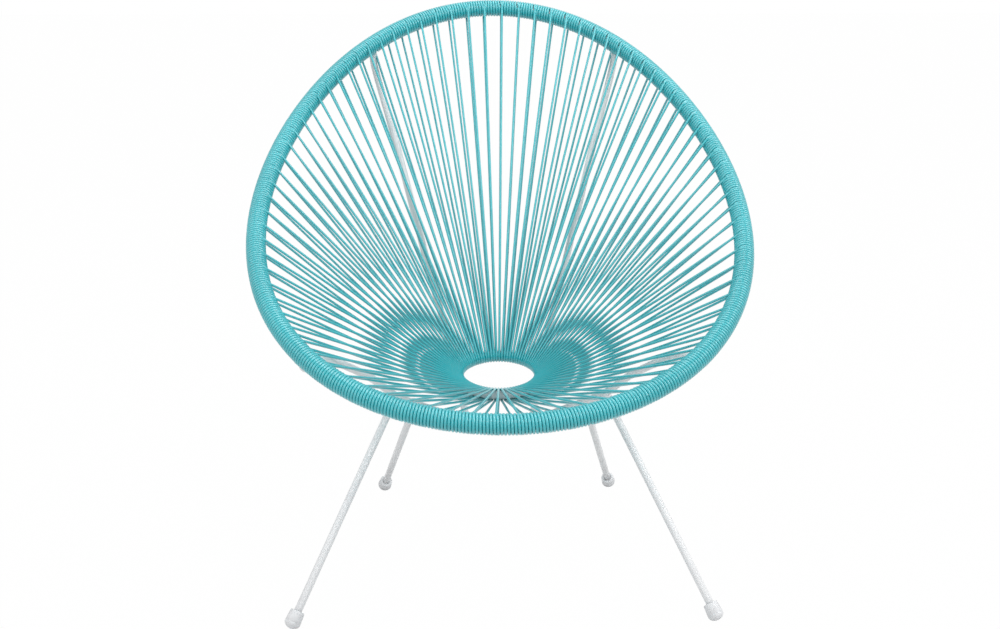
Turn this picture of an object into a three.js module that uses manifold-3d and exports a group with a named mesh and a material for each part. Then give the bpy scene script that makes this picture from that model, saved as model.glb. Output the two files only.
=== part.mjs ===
// Acapulco chair: an egg-shaped steel hoop wound with cord, a small steel ring hung in
// cords that run between the two, a cradle of bent rods under it and four splayed legs
// that plug into sockets. Millimetres, +Z up, the sitter faces -Y, and the origin lies
// on the floor below the middle of the chair.
import * as THREE from 'three';
import { mergeVertices } from 'three/addons/utils/BufferGeometryUtils.js';
import Module from 'manifold-3d';

const wasm = await Module();
wasm.setup();

// Hoop: an egg in a tilted plane, wide end at the front and low
const hoopHalfWidth = 352;
const hoopHalfLength = 445.5;
const hoopCentreHeight = 594.2;
const hoopTiltDegrees = 32.2;
const hoopTubeDiameter = 19;
const hoopEggShare = 0.145;
const hoopShoulderShare = 0.037;
const hoopEndShare = 0.012;

// Cord: wound round the hoop, and once in every station taken to the ring and back
const cordDiameter = 4;
const strandDiameter = 3.7;
const cordStations = 84;
const cordClearance = 0.3;
const ribDepth = 0.9;
const riseShare = 0.25;
const fallShare = 0.75;
const strandSpreadShare = 0.1;
const upperLandingShare = 0.3;
const lowerLandingShare = 0.63;
const cordNames = ['back', 'back_right', 'side_right', 'front_right',
  'front', 'front_left', 'side_left', 'back_left'];
const cordEndStations = [-6, 6, 16, 26, 36, 48, 58, 68, 78];

// Ring in the middle of the seat
const ringRadius = 68;
const ringRodDiameter = 14;
const ringTiltDegrees = 8;
const ringBack = 40;
const ringHeight = 270.5;

// Bent rods under the seat, from their joints with the hoop inward. Places below the
// cords give the share of the way round the hoop, the share of the way from the ring out
// to the hoop, and the share of the rod's drop. Places below the ring give the shares of
// its radius across and forward, and the share of the drop.
const barDiameter = 12;
const barDrop = 20;
const cradleDiameter = 12;
const cradleDrop = 45;
const weldGap = 0.3;
const standOff = 28;
const backJointShare = 0.0944;
const cradleJointShare = 0.381;
const cradleShares = [
  [0.3565, 0.784, 0.276], [0.3428, 0.473, 0.678], [0.3344, 0.272, 1.1],
  [0.3323, 0.11, 1.064],
];
const cradleMiddleShares = [[0.809, 0.676, 1.322], [0, 0.662, 1.456]];
const backBarShares = [
  [0.0869, 0.974, 0.605], [0.091, 0.74, 0.477], [0.1055, 0.248, 1.026],
  [0.1185, 0.066, 1.175],
];
const backBarMiddleShares = [
  [0.941, -0.559, 0.767], [0.838, 0.147, 1.144], [0.809, 0.676, 1.322],
];

// Legs, sockets and feet
const legDiameter = 11.4;
const frontFootShares = [0.8722, -0.5993];
const rearFootShares = [0.5795, 0.431];
const frontLegShare = 0.3125;
const rearLegShare = 0.353;
const socketDiameter = 18;
const socketLength = 30;
const fitClearance = 0.3;
const footDiameter = 23.5;
const footTopDiameter = 21.4;
const footLength = 26;
const footBottom = 8;
const footFlatDepth = 1.5;
const footBevel = 1.5;
const footDome = 9;
const footSeam = 9.2;
const seamDepth = 0.7;
const seamHalfWidth = 0.8;
const domeShares = [0.55, 0.83];
const boltDiameter = 5;
const boltHeadDiameter = 8.5;
const boltHeadHeight = 3;
const boltTail = 2;
const nutAcrossCorners = 9;
const nutHeight = 4;
const washerDiameter = 10;
const washerThickness = 1;

// Faces of the round things
const tubeSides = 8;
const hoopSteps = 42;
const cordSides = 5;
const rodSides = 10;
const cradleSteps = 44;
const backSteps = 26;
const roundSides = 16;
const boltSides = 12;
const joinTolerance = 0.0001;

const tubeRadius = hoopTubeDiameter / 2;
const strandRadius = strandDiameter / 2;
const boreRadius = tubeRadius + cordClearance;
const windingRadius = boreRadius + cordDiameter;
const hoopTilt = THREE.MathUtils.degToRad(hoopTiltDegrees);
const ringTilt = THREE.MathUtils.degToRad(ringTiltDegrees);
const ringCentre = new THREE.Vector3(0, ringBack, ringHeight);

const white = { color: 0xe9e9ea, roughness: 0.42, metalness: 0 };
const turquoise = { color: 0x3fb8bd, roughness: 0.38, metalness: 0 };
const capWhite = { color: 0xe4e4e6, roughness: 0.5, metalness: 0 };
const zinc = { color: 0xb9bcc0, roughness: 0.35, metalness: 0.9 };

const chair = new THREE.Group();

function addPart(parent, name, geometry, look) {
  const mesh = new THREE.Mesh(geometry, new THREE.MeshStandardMaterial(look));
  mesh.name = name;
  parent.add(mesh);
  return mesh;
}

// Solids: a closed geometry becomes a solid that can be joined or cut
function solidOf(geometry) {
  let bare = geometry.clone();
  bare.deleteAttribute('normal');
  bare.deleteAttribute('uv');
  bare = mergeVertices(bare, joinTolerance);
  return new wasm.Manifold(new wasm.Mesh({
    numProp: 3,
    vertProperties: new Float32Array(bare.attributes.position.array),
    triVerts: new Uint32Array(bare.index.array),
  }));
}

function geometryOf(solid) {
  const mesh = solid.getMesh();
  const geometry = new THREE.BufferGeometry();
  geometry.setAttribute('position', new THREE.BufferAttribute(mesh.vertProperties, 3));
  geometry.setIndex(new THREE.BufferAttribute(mesh.triVerts, 1));
  geometry.computeVertexNormals();
  return geometry;
}

function cut(geometry, ...cutters) {
  let solid = solidOf(geometry);
  for (const cutter of cutters) {
    solid = solid.subtract(solidOf(cutter));
  }
  return geometryOf(solid);
}

// Skin: rings of points joined band by band into one closed surface. A band runs
// outward-facing from its first ring to its second, and may leave one face open.
class Skin {
  constructor() {
    this.points = [];
    this.faces = [];
  }

  ring(points) {
    const indices = points.map((point, i) => this.points.length + i);
    this.points.push(...points);
    return indices;
  }

  band(first, second, open = []) {
    for (let j = 0; j < first.length; j += 1) {
      const next = (j + 1) % first.length;
      if (!open.includes(j)) {
        this.faces.push(first[j], first[next], second[next], first[j], second[next], second[j]);
      }
    }
  }

  // Fills the space between a face and a smaller outline inside it, turn by turn
  collar(outer, inner) {
    const centre = new THREE.Vector3();
    inner.forEach((i) => centre.addScaledVector(this.points[i], 1 / inner.length));
    const [a, b, , d] = outer.map((i) => this.points[i].clone());
    const across = b.clone().sub(a).normalize();
    const normal = across.clone().cross(d.sub(a)).normalize();
    const up = normal.cross(across);
    const turnOf = (i) => {
      const arm = this.points[i].clone().sub(centre);
      const turn = Math.atan2(arm.dot(up), arm.dot(across));
      return turn < 0 ? turn + 2 * Math.PI : turn;
    };
    const inTurn = (loop) => loop.map((i) => [turnOf(i), i]).sort((one, two) => one[0] - two[0]);
    const out = inTurn(outer);
    const hole = inTurn(inner);
    let i = 0;
    let k = 0;
    const turnAt = (loop, n) => loop[n % loop.length][0] + 2 * Math.PI * Math.floor(n / loop.length);
    while (i < out.length || k < hole.length) {
      const outerNext = turnAt(out, i + 1);
      const innerNext = turnAt(hole, k + 1);
      const here = [out[i % out.length][1], hole[k % hole.length][1]];
      if (k === hole.length || (i < out.length && outerNext < innerNext)) {
        this.faces.push(here[0], out[(i + 1) % out.length][1], here[1]);
        i += 1;
      } else {
        this.faces.push(here[0], hole[(k + 1) % hole.length][1], here[1]);
        k += 1;
      }
    }
  }

  geometry() {
    const geometry = new THREE.BufferGeometry();
    const flat = this.points.flatMap((point) => [point.x, point.y, point.z]);
    geometry.setAttribute('position', new THREE.Float32BufferAttribute(flat, 3));
    geometry.setIndex(this.faces);
    geometry.computeVertexNormals();
    return geometry;
  }
}

// Hoop curve: the angle runs from 0 at the front to 180 degrees at the back
function eggWidth(angle) {
  const bulge = 1 + hoopEggShare * Math.cos(angle) + hoopShoulderShare * Math.cos(2 * angle);
  return Math.sin(angle) * bulge;
}

const arcSteps = 2880;
const eggWidest = Math.max(...Array.from({ length: arcSteps },
  (unused, i) => eggWidth((i / arcSteps) * Math.PI)));
const hoopUp = new THREE.Vector3(0, -Math.sin(hoopTilt), Math.cos(hoopTilt));

function hoopPoint(angle) {
  const across = (hoopHalfWidth * eggWidth(angle)) / eggWidest;
  const ends = 1 + hoopEndShare * (Math.cos(2 * angle) - 1);
  const along = -hoopHalfLength * Math.cos(angle) * ends;
  return new THREE.Vector3(
    across,
    along * Math.cos(hoopTilt),
    hoopCentreHeight + along * Math.sin(hoopTilt),
  );
}

// Arc lengths along the hoop, counted from the back centre through +X to the front
const arcTable = [0];
for (let i = 1; i <= arcSteps; i += 1) {
  const before = hoopPoint(Math.PI - ((i - 1) / arcSteps) * 2 * Math.PI);
  const here = hoopPoint(Math.PI - (i / arcSteps) * 2 * Math.PI);
  arcTable.push(arcTable[i - 1] + before.distanceTo(here));
}
const hoopLength = arcTable[arcSteps];

function hoopFrame(share) {
  const wanted = (((share % 1) + 1) % 1) * hoopLength;
  let i = arcTable.findIndex((length) => length > wanted);
  i = i < 1 ? arcSteps : i;
  const part = (wanted - arcTable[i - 1]) / (arcTable[i] - arcTable[i - 1]);
  const angle = Math.PI - ((i - 1 + part) / arcSteps) * 2 * Math.PI;
  const step = Math.PI / arcSteps;
  const point = hoopPoint(angle);
  const tangent = hoopPoint(angle - step).sub(hoopPoint(angle + step)).normalize();
  const outward = new THREE.Vector3().crossVectors(hoopUp, tangent).normalize();
  return { point, tangent, outward };
}

// A ring of points round the hoop's tube, and its faces that look inward and down
const innerFace = tubeSides / 2 - 1;
const lowerFace = (3 * tubeSides) / 4 - 1;

function hoopRing(share, radius) {
  const { point, outward } = hoopFrame(share);
  return Array.from({ length: tubeSides }, (unused, j) => {
    const turn = (2 * Math.PI * (j + 0.5)) / tubeSides;
    return point.clone()
      .addScaledVector(outward, radius * Math.cos(turn))
      .addScaledVector(hoopUp, radius * Math.sin(turn));
  });
}

function hoopTube(radius) {
  const skin = new Skin();
  const rings = Array.from({ length: hoopSteps },
    (unused, i) => skin.ring(hoopRing(i / hoopSteps, radius)));
  rings.forEach((ring, i) => skin.band(ring, rings[(i + 1) % hoopSteps]));
  return skin.geometry();
}

// Ring: its own frame, tilted a little towards the back
function ringFrame(angle) {
  const back = new THREE.Vector3(0, Math.cos(ringTilt), Math.sin(ringTilt));
  const outward = new THREE.Vector3(Math.sin(angle), 0, 0).addScaledVector(back, Math.cos(angle));
  const tangent = new THREE.Vector3(Math.cos(angle), 0, 0).addScaledVector(back, -Math.sin(angle));
  const point = ringCentre.clone().addScaledVector(outward, ringRadius);
  return { point, tangent, outward };
}

// The two faces of the winding that the strands of one station leave from
function landing(station, face) {
  const near = hoopRing((station + riseShare) / cordStations, windingRadius);
  const far = hoopRing((station + fallShare) / cordStations, windingRadius - ribDepth);
  return [near[face], near[face + 1], far[face + 1], far[face]];
}

function pointOn(corners, along, across) {
  const [a, b, c, d] = corners;
  const first = a.clone().lerp(b, across);
  return first.lerp(d.clone().lerp(c, across), along);
}

// One cord loop: off the hoop's inner side, round the ring and back to the lower side
function cordLoop(station) {
  const share = (station + 0.5) / cordStations;
  const ring = ringFrame(2 * Math.PI * share);
  const way = hoopFrame(share).point.sub(ring.point).normalize();
  const above = new THREE.Vector3().crossVectors(ring.tangent, way).normalize();
  const inward = new THREE.Vector3().crossVectors(ring.tangent, above).normalize();
  const reach = ringRodDiameter / 2 + cordClearance + strandRadius;
  const corner = (up, into) => ring.point.clone()
    .addScaledVector(above, up * reach)
    .addScaledVector(inward, into * reach);
  const sixth = Math.PI / 6;
  return [
    pointOn(landing(station, innerFace), 0.5 - strandSpreadShare, upperLandingShare),
    corner(1, Math.tan(sixth)),
    corner(0, 1 / Math.cos(sixth)),
    corner(-1, Math.tan(sixth)),
    pointOn(landing(station, lowerFace), 0.5 + strandSpreadShare, lowerLandingShare),
  ];
}

// Moves a ring of points along a way until it lies in the plane through a point
function slide(ring, way, point, normal) {
  return ring.map((corner) => {
    const gap = point.clone().sub(corner).dot(normal) / way.dot(normal);
    return corner.clone().addScaledVector(way, gap);
  });
}

function strandRings(points, firstNormal, lastNormal) {
  const ways = points.slice(1).map((point, i) => point.clone().sub(points[i]).normalize());
  const across = ways[0].clone().cross(hoopUp).normalize();
  const other = ways[0].clone().cross(across);
  let ring = Array.from({ length: cordSides }, (unused, j) => {
    const turn = (2 * Math.PI * j) / cordSides;
    return points[0].clone()
      .addScaledVector(across, strandRadius * Math.cos(turn))
      .addScaledVector(other, strandRadius * Math.sin(turn));
  });
  return points.map((point, i) => {
    const last = i === ways.length;
    const before = ways[Math.max(i - 1, 0)];
    const mitre = last ? lastNormal : before.clone().add(ways[i]).normalize();
    ring = slide(ring, before, point, i === 0 ? firstNormal : mitre);
    return ring;
  });
}

const normalOf = ([a, b, , d]) => b.clone().sub(a).cross(d.clone().sub(a)).normalize();

// One length of the seat cord: its part of the winding, drawn as one ribbed sleeve with
// a rise for every station, and its strands, which grow out of the sleeve's faces
function cordLength(from, to) {
  const skin = new Skin();
  const trim = (0.5 * cordClearance * cordStations) / hoopLength;
  const ringAt = (station, radius) => skin.ring(hoopRing(station / cordStations, radius));
  const endRadius = windingRadius - ribDepth / 2;
  const firstOuter = ringAt(from + trim, endRadius);
  let outer = firstOuter;
  for (let station = from; station < to; station++) {
    const near = ringAt(station + riseShare, windingRadius);
    const far = ringAt(station + fallShare, windingRadius - ribDepth);
    skin.band(outer, near);
    skin.band(near, far, [lowerFace, innerFace]);
    const upper = landing(station, innerFace);
    const lower = landing(station, lowerFace);
    const rings = strandRings(cordLoop(station), normalOf(upper), normalOf(lower))
      .map((ring) => skin.ring(ring));
    const faceOf = (face) => [near[face], near[face + 1], far[face + 1], far[face]];
    skin.collar(faceOf(innerFace), rings[0]);
    skin.collar(faceOf(lowerFace), rings[rings.length - 1]);
    rings.slice(1).forEach((ring, i) => skin.band(rings[i], ring));
    outer = far;
  }
  const lastOuter = ringAt(to - trim, endRadius);
  skin.band(outer, lastOuter);
  const stride = cordStations / hoopSteps;
  const firstInner = ringAt(from + trim, boreRadius);
  let inner = firstInner;
  for (let station = from + stride; station < to; station += stride) {
    const next = ringAt(station, boreRadius);
    skin.band(next, inner);
    inner = next;
  }
  const lastInner = ringAt(to - trim, boreRadius);
  skin.band(lastInner, inner);
  skin.band(firstInner, firstOuter);
  skin.band(lastOuter, lastInner);
  return skin.geometry();
}

// Bent rods: a round section drawn along a smooth path
function rodAlong(path, diameter, steps) {
  const section = new THREE.Shape();
  section.absarc(0, 0, diameter / 2, 0, 2 * Math.PI, false);
  return new THREE.ExtrudeGeometry(section, {
    steps,
    curveSegments: rodSides / 2,
    bevelEnabled: false,
    extrudePath: path,
  });
}

const smooth = (points) => new THREE.CatmullRomCurve3(points, false, 'centripetal');
const below = (point, distance) => point.clone().addScaledVector(hoopUp, -distance);
const mirrored = (point) => point.clone().multiply(new THREE.Vector3(-1, 1, 1));

// Below the cords, so that the rods follow the seat when the hoop or the ring moves
function belowCords([round, outward, down], drop) {
  const station = round * cordStations;
  const onCords = (place) => {
    const loop = cordLoop(place);
    return loop[3].clone().lerp(loop[4], outward);
  };
  const loop = cordLoop(station);
  const way = loop[4].clone().sub(loop[3]);
  const side = onCords(station + strandSpreadShare).sub(onCords(station - strandSpreadShare));
  const normal = side.cross(way).normalize();
  return onCords(station).addScaledVector(normal, -down * drop);
}

function belowRing([across, ahead, down], drop) {
  const offset = new THREE.Vector3(across * ringRadius, -ahead * ringRadius, -down * drop);
  return ringCentre.clone().add(offset);
}

const cradleJoint = hoopFrame(cradleJointShare).point;
const cradleArm = [
  cradleJoint,
  below(cradleJoint, standOff / 2),
  below(cradleJoint, standOff),
  ...cradleShares.map((place) => belowCords(place, cradleDrop)),
  ...cradleMiddleShares.map((place) => belowRing(place, cradleDrop)),
];
const cradlePath = smooth([...cradleArm, ...cradleArm.slice(0, -1).map(mirrored).reverse()]);

const backJoint = hoopFrame(backJointShare).point;
const backArm = [
  backJoint,
  below(backJoint, standOff / 2),
  ...backBarShares.map((place) => belowCords(place, barDrop)),
  ...backBarMiddleShares.map((place) => belowRing(place, cradleDrop)),
];

const hoopCutter = hoopTube(tubeRadius + weldGap);
addPart(chair, 'seat_hoop', hoopTube(tubeRadius), white);
const cradle = rodAlong(cradlePath, cradleDiameter, cradleSteps);
addPart(chair, 'seat_cradle', cut(cradle, hoopCutter), white);
const cradleCutter = rodAlong(cradlePath, cradleDiameter + 2 * weldGap, cradleSteps);

// Where a rod's end is welded to the hoop the winding leaves room for it
const rodEnds = [];
function addRodEnd(path, diameter, steps, joint) {
  const rod = solidOf(rodAlong(path, diameter + 2 * cordClearance, steps));
  const ball = new THREE.SphereGeometry(standOff, boltSides, boltSides);
  ball.translate(joint.x, joint.y, joint.z);
  rodEnds.push(geometryOf(rod.intersect(solidOf(ball))));
}

addRodEnd(cradlePath, cradleDiameter, cradleSteps, cradleJoint);
addRodEnd(cradlePath, cradleDiameter, cradleSteps, mirrored(cradleJoint));
for (const side of ['right', 'left']) {
  const points = side === 'right' ? backArm : backArm.map(mirrored);
  const path = smooth(points);
  const bar = rodAlong(path, barDiameter, backSteps);
  addPart(chair, `back_bar_${side}`, cut(bar, hoopCutter, cradleCutter), white);
  addRodEnd(path, barDiameter, backSteps, points[0]);
}

const ringGeometry = new THREE.TorusGeometry(ringRadius, ringRodDiameter / 2, tubeSides, hoopSteps);
const seatRing = addPart(chair, 'seat_ring', ringGeometry, white);
seatRing.position.copy(ringCentre);
seatRing.rotation.x = ringTilt;

cordNames.forEach((name, i) => {
  const cord = cordLength(cordEndStations[i], cordEndStations[i + 1]);
  addPart(chair, `seat_cord_${name}`, cut(cord, ...rodEnds), turquoise);
});

// Legs: each hangs in a group whose z axis runs up the leg from its foot
function turned(outline, sides) {
  const points = outline.map(([across, up]) => new THREE.Vector2(across, up));
  return new THREE.LatheGeometry(points, sides).rotateX(Math.PI / 2);
}

// A foot cap: a dome below, a seam round its widest place and a taper towards the top
function footCap() {
  const r = footDiameter / 2;
  const top = footTopDiameter / 2;
  const bore = legDiameter / 2 + fitClearance;
  const dome = domeShares.map((share) => [
    r * share, footDome * (1 - Math.sqrt(1 - share * share)),
  ]);
  return turned([
    [0, 0], ...dome, [r, footSeam - seamHalfWidth], [r - seamDepth, footSeam],
    [r, footSeam + seamHalfWidth], [top, footLength - footBevel],
    [top - footBevel, footLength], [bore, footLength], [bore, footBottom], [0, footBottom],
  ], roundSides);
}

// A round bar across the leg, from one distance out to another, on the side of hand
function crossBar(diameter, from, to, up, sides, hand = 1) {
  return new THREE.CylinderGeometry(diameter / 2, diameter / 2, to - from, sides)
    .rotateZ(Math.PI / 2).translate((hand * (from + to)) / 2, 0, up);
}

// A block as wide as the chair that takes away what lies below the floor
function belowFloor() {
  const size = 4 * hoopHalfWidth;
  return new THREE.BoxGeometry(size, size, size).translate(0, 0, -size / 2);
}

// A block beyond the middle of the rod that a leg meets, so that the leg's end and its
// socket stop there whatever the slant between them
function beyondRod(top, way, axis) {
  const size = 4 * socketDiameter;
  const across = axis.clone().cross(way).normalize();
  const up = way.clone().cross(across);
  const place = new THREE.Matrix4().makeBasis(way, across, up).setPosition(top);
  return new THREE.BoxGeometry(size, size, size).translate(0, 0, size / 2).applyMatrix4(place);
}

function addLeg(name, foot, top, way) {
  const leg = new THREE.Group();
  const hand = Math.sign(foot.x);
  const axis = top.clone().sub(foot).normalize();
  const level = new THREE.Vector3(0, 0, 1).cross(axis).normalize();
  const rise = new THREE.Vector3().crossVectors(axis, level);
  leg.setRotationFromMatrix(new THREE.Matrix4().makeBasis(level, rise, axis));
  const lean = Math.sqrt(1 - axis.z * axis.z);
  const domeReach = Math.hypot((footDiameter / 2) * lean, footDome * axis.z);
  leg.position.copy(foot).setZ(domeReach - footDome * axis.z - footFlatDepth);
  chair.add(leg);
  leg.updateMatrixWorld(true);
  const intoLeg = leg.matrixWorld.clone().invert();
  const inLeg = (geometry) => geometry.clone().applyMatrix4(intoLeg);

  const barAt = top.clone().applyMatrix4(intoLeg).z;
  const legEnd = barAt - cradleDiameter / 2 - fitClearance;
  const legStart = footBottom + fitClearance;
  const socketStart = barAt - socketLength;
  const boltAt = (socketStart + legEnd) / 2;
  const hole = boltDiameter + 2 * fitClearance;
  const reach = socketDiameter;
  const boltHole = crossBar(hole, -reach, reach, boltAt, boltSides);

  addPart(leg, `foot_cap_${name}`, cut(footCap(), inLeg(belowFloor())), capWhite);

  const thick = legDiameter / 2;
  const rod = turned([[0, legStart], [thick, legStart], [thick, legEnd], [0, legEnd]], roundSides);
  const rodCutters = [inLeg(cradleCutter), inLeg(beyondRod(top, way, axis))];
  addPart(leg, `leg_${name}`, cut(rod, boltHole, ...rodCutters), white);

  const bore = legDiameter / 2 + fitClearance;
  const wall = socketDiameter / 2;
  const socketEnd = barAt + wall;
  const tube = turned([
    [bore, socketStart], [wall, socketStart], [wall, socketEnd],
    [bore, socketEnd], [bore, socketStart],
  ], roundSides);
  addPart(leg, `leg_socket_${name}`, cut(tube, boltHole, ...rodCutters), white);

  const face = wall + fitClearance;
  const nutStart = face + washerThickness + fitClearance;
  const nutEnd = nutStart + nutHeight;
  const headEnd = -face - boltHeadHeight;
  const shankEnd = nutEnd + boltTail;
  const round = (diameter, from, to) => crossBar(diameter, from, to, boltAt, boltSides, hand);
  const shank = round(boltDiameter, headEnd + boltHeadHeight / 2, shankEnd);
  const head = round(boltHeadDiameter, headEnd, -face);
  addPart(leg, `bolt_${name}`, geometryOf(solidOf(shank).add(solidOf(head))), zinc);
  const outerHole = round(hole, 0, 2 * reach);
  const washer = round(washerDiameter, face, face + washerThickness);
  addPart(leg, `washer_${name}`, cut(washer, outerHole), zinc);
  const nut = crossBar(nutAcrossCorners, nutStart, nutEnd, boltAt, 6, hand);
  addPart(leg, `nut_${name}`, cut(nut, outerHole), zinc);
}

for (const [end, [across, along], share] of [
  ['front', frontFootShares, frontLegShare],
  ['rear', rearFootShares, rearLegShare],
]) {
  const foot = new THREE.Vector3(across * hoopHalfWidth, along * hoopHalfLength, 0);
  const top = cradlePath.getPoint(share);
  const way = cradlePath.getTangent(share);
  addLeg(`${end}_right`, foot, top, way);
  addLeg(`${end}_left`, mirrored(foot), mirrored(top), mirrored(way));
}

export default chair;
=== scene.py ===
# %% [markdown]
# # An acapulco chair
# The chair is an egg-shaped steel hoop wound with vinyl cord. At even steps round the hoop
# the cord runs down to a small ring and back, and these strands are the whole seat. Bent
# rods under the seat carry four splayed legs with plastic foot caps.
# The solids already give every size and place. This lesson dresses them: it draws the cord
# turn by turn, makes the rods rounder, and gives each surface its finish.

import math
import random
from collections import namedtuple

import bmesh
import bpy
from mathutils import Matrix, Vector


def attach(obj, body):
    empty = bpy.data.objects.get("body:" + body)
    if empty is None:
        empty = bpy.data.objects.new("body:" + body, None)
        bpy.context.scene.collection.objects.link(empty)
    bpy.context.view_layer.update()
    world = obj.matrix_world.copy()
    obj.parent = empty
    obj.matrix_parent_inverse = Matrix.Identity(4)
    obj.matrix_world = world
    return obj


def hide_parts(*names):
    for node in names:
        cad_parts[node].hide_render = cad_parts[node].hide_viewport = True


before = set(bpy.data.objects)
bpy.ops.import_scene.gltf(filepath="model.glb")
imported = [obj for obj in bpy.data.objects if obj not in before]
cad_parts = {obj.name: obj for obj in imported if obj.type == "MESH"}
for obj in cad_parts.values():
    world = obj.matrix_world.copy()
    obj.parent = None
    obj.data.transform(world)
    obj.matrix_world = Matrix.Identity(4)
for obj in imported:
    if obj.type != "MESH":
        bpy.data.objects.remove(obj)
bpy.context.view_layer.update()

# %% [markdown]
# The camera comes first. It stands close in front of the chair, a little above it and to the left
# of its middle line, and looks down by about seventeen degrees. It could be set by eye, but its
# numbers come from a fit to the hoop's outline. Such a fit gives the focal length in pixels, and
# the sensor's width turns it into the millimetres of a lens. The small shift stands for the way
# the picture was cropped.

# %% Place the camera
PICTURE_WIDTH = 1000
PICTURE_HEIGHT = 629
PICTURE_MIDDLE = (507.0, 314.3)
FOCAL_PIXELS = 1142.7
SENSOR_WIDTH = 36.0
CAMERA_PLACE = (-0.0486, -1.6996, 0.909)
LOOK_DOWN_DEGREES = 17.14
LOOK_ASIDE = -0.0354

lens = bpy.data.cameras.new("lens")
lens.sensor_width = SENSOR_WIDTH
lens.lens = FOCAL_PIXELS / PICTURE_WIDTH * SENSOR_WIDTH
lens.shift_x = (PICTURE_WIDTH / 2 - PICTURE_MIDDLE[0]) / PICTURE_WIDTH
lens.shift_y = (PICTURE_MIDDLE[1] - PICTURE_HEIGHT / 2) / PICTURE_WIDTH
camera = bpy.data.objects.new("camera", lens)
camera.location = CAMERA_PLACE
camera.rotation_euler = (math.radians(90 - LOOK_DOWN_DEGREES), 0.0, LOOK_ASIDE)
bpy.context.collection.objects.link(camera)
bpy.context.scene.camera = camera
print("lens:", round(lens.lens, 2), "mm")

# %% [markdown]
# The hoop is one bent steel tube in the shape of an egg, tilted up to the back. A curve
# object could hold it, but the cord asks at every place which way the tube runs and which
# way is outward. So the egg is a formula, with the numbers of the solid in metres: half
# its width and length, how much fuller its front half is, how blunt its ends are, and a
# small correction along it.

# %% The hoop's shape
HOOP_HALF_WIDTH = 0.352
HOOP_HALF_LENGTH = 0.4455
HOOP_CENTRE_HEIGHT = 0.5942
HOOP_TILT = math.radians(32.2)
HOOP_EGG = 0.145
HOOP_SHOULDER = 0.037
HOOP_ENDS = 0.012
HOOP_UP = Vector((0.0, -math.sin(HOOP_TILT), math.cos(HOOP_TILT)))
HOOP_SAMPLES = 2880


def egg_width(angle):
    bulge = 1 + HOOP_EGG * math.cos(angle) + HOOP_SHOULDER * math.cos(2 * angle)
    return math.sin(angle) * bulge


WIDEST = max(egg_width(math.pi * i / HOOP_SAMPLES) for i in range(HOOP_SAMPLES))


def hoop_point(angle):
    across = HOOP_HALF_WIDTH * egg_width(angle) / WIDEST
    ends = 1 + HOOP_ENDS * (math.cos(2 * angle) - 1)
    along = -HOOP_HALF_LENGTH * math.cos(angle) * ends
    height = HOOP_CENTRE_HEIGHT + along * math.sin(HOOP_TILT)
    return Vector((across, along * math.cos(HOOP_TILT), height))


print("hoop from", hoop_point(0.0), "to", hoop_point(math.pi))

# %% [markdown]
# Even steps of the angle aren't even steps along the tube, and the cord's turns are. So
# the curve is measured once, in small steps, from the middle of the back round through
# the right side. A share of the whole length then gives a point on the hoop, the way
# along the tube and the way outward. The list is halved until two neighbours are left.

# %% Measure the hoop
hoop_angles = [math.pi - 2 * math.pi * i / HOOP_SAMPLES for i in range(HOOP_SAMPLES + 1)]
hoop_lengths = [0.0]
for before, here in zip(hoop_angles, hoop_angles[1:]):
    hoop_lengths.append(hoop_lengths[-1] + (hoop_point(here) - hoop_point(before)).length)
HOOP_LENGTH = hoop_lengths[-1]


def hoop_frame(share):
    """The point on the hoop at a share of its length, the way along it and outward."""
    wanted = (share % 1) * HOOP_LENGTH
    low, high = 0, HOOP_SAMPLES
    while high - low > 1:
        middle = (low + high) // 2
        if hoop_lengths[middle] > wanted:
            high = middle
        else:
            low = middle
    part = (wanted - hoop_lengths[low]) / (hoop_lengths[high] - hoop_lengths[low])
    angle = hoop_angles[low] + part * (hoop_angles[high] - hoop_angles[low])
    step = math.pi / HOOP_SAMPLES
    tangent = (hoop_point(angle - step) - hoop_point(angle + step)).normalized()
    return hoop_point(angle), tangent, HOOP_UP.cross(tangent).normalized()


print("hoop length:", round(HOOP_LENGTH, 4), "m")

# %% [markdown]
# Every piece is added through one small helper. It makes an object at the origin, with its place
# in its mesh, lets it ride on the chair's only body, and hides the solid that it stands for. A
# second helper turns a bmesh into such a mesh.

# %% Helpers that add a piece
def place_mesh(name, mesh, material, solid, smooth=True):
    for face in mesh.polygons:
        face.use_smooth = smooth
    mesh.materials.clear()
    mesh.materials.append(material)
    piece = bpy.data.objects.new(name, mesh)
    bpy.context.collection.objects.link(piece)
    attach(piece, "root")
    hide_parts(solid)
    print("made", name, "with", len(mesh.polygons), "faces")


def add_piece(name, bm, material, solid, smooth=True):
    mesh = bpy.data.meshes.new(name)
    bm.to_mesh(mesh)
    bm.free()
    place_mesh(name, mesh, material, solid, smooth)


print("solids to dress:", sorted(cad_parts))

# %% [markdown]
# A finish is a small tree of nodes round the Principled shader. A painted picture would
# need its own map on every piece and blur close up. Noise has detail at any size, so each
# finish grows from it. The helpers add the usual nodes: a noise in the object's own
# coordinates, two shades for the base colour, a range for the roughness, and a bump.
# A shader reads colours in linear values, so those of a screen are turned into them.

# %% Helpers for the finishes
def linear(red, green, blue):
    """A colour as a screen shows it, in the linear values that a shader reads."""
    def channel(value):
        value /= 255
        return value / 12.92 if value <= 0.04045 else ((value + 0.055) / 1.055) ** 2.4
    return (channel(red), channel(green), channel(blue), 1.0)


def new_material(name, colour, roughness, metallic=0.0):
    material = bpy.data.materials.new(name)
    material.use_nodes = True
    nodes = material.node_tree.nodes
    shader = nodes["Principled BSDF"]
    shader.inputs["Base Color"].default_value = colour
    shader.inputs["Roughness"].default_value = roughness
    shader.inputs["Metallic"].default_value = metallic
    return material, nodes, material.node_tree.links, shader


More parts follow.
